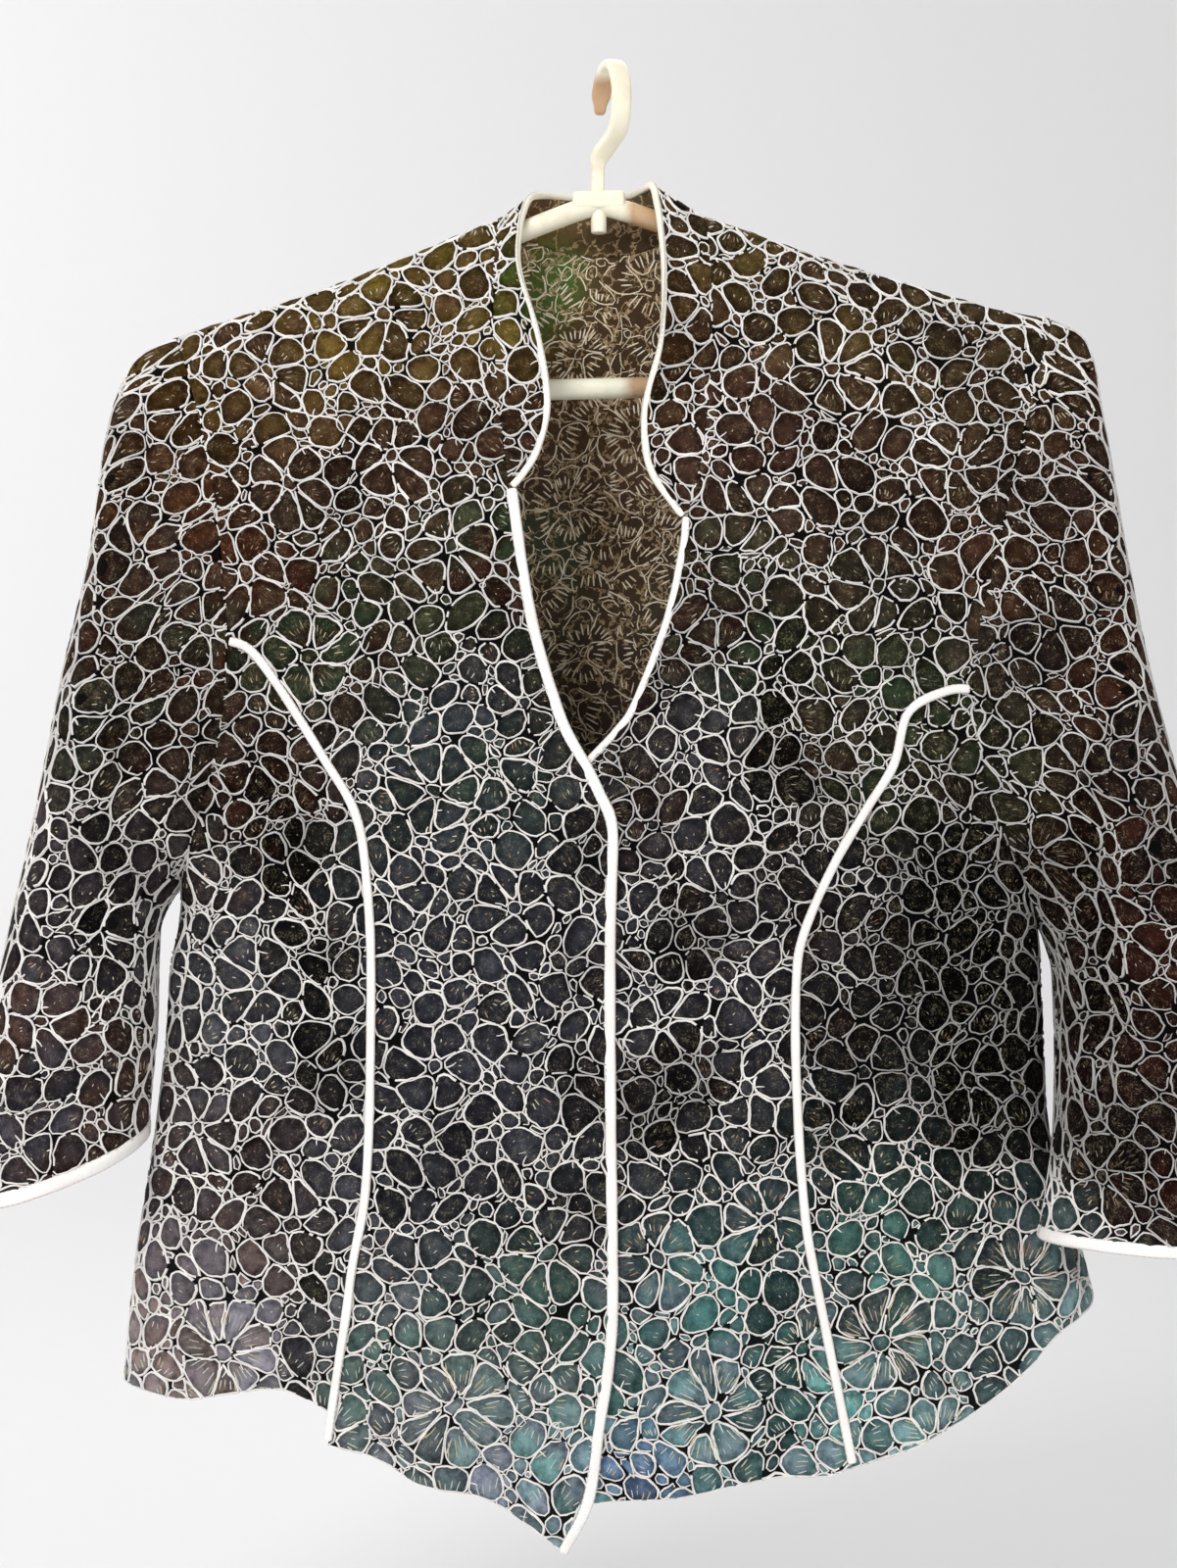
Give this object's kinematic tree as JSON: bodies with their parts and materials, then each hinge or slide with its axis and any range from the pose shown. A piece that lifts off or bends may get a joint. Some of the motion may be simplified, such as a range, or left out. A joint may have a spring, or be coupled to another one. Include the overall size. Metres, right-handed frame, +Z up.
{
  "type": "lace top on a hanger",
  "caption": "Long-sleeved floral lace top with a notched stand collar, V neck and bound princess seams, hung on a plastic tube hanger.",
  "frame": {"origin": "top of the hook's inner curve, where it rests on its rail", "axes": "+Z up, -Y out of the garment's front, +X to the viewer's right, which is the wearer's left"},
  "size_m": [0.6263, 0.132, 0.694],
  "materials": {
    "lace_cloth": "dark mottled cloth closed by pale cord lace",
    "lace_cord": "off-white cord of the lace",
    "binding": "white satin binding",
    "hanger_plastic": "cream moulded tube",
    "hook_plastic": "cream moulded hook"
  },
  "bodies": {
    "root": {"back": "lace_cloth", "front_centre_right": "lace_cloth", "front_centre_left": "lace_cloth", "front_side_right": "lace_cloth", "front_side_left": "lace_cloth", "sleeve_right": "lace_cloth", "sleeve_left": "lace_cloth", "collar": "lace_cloth", "collar_piping": "binding", "front_piping_right": "binding", "front_piping_left": "binding", "princess_piping_right": "binding", "princess_piping_left": "binding", "cuff_piping_right": "binding", "cuff_piping_left": "binding", "hanger_frame": "hanger_plastic", "hook": "hook_plastic"}
  },
  "joints": []
}
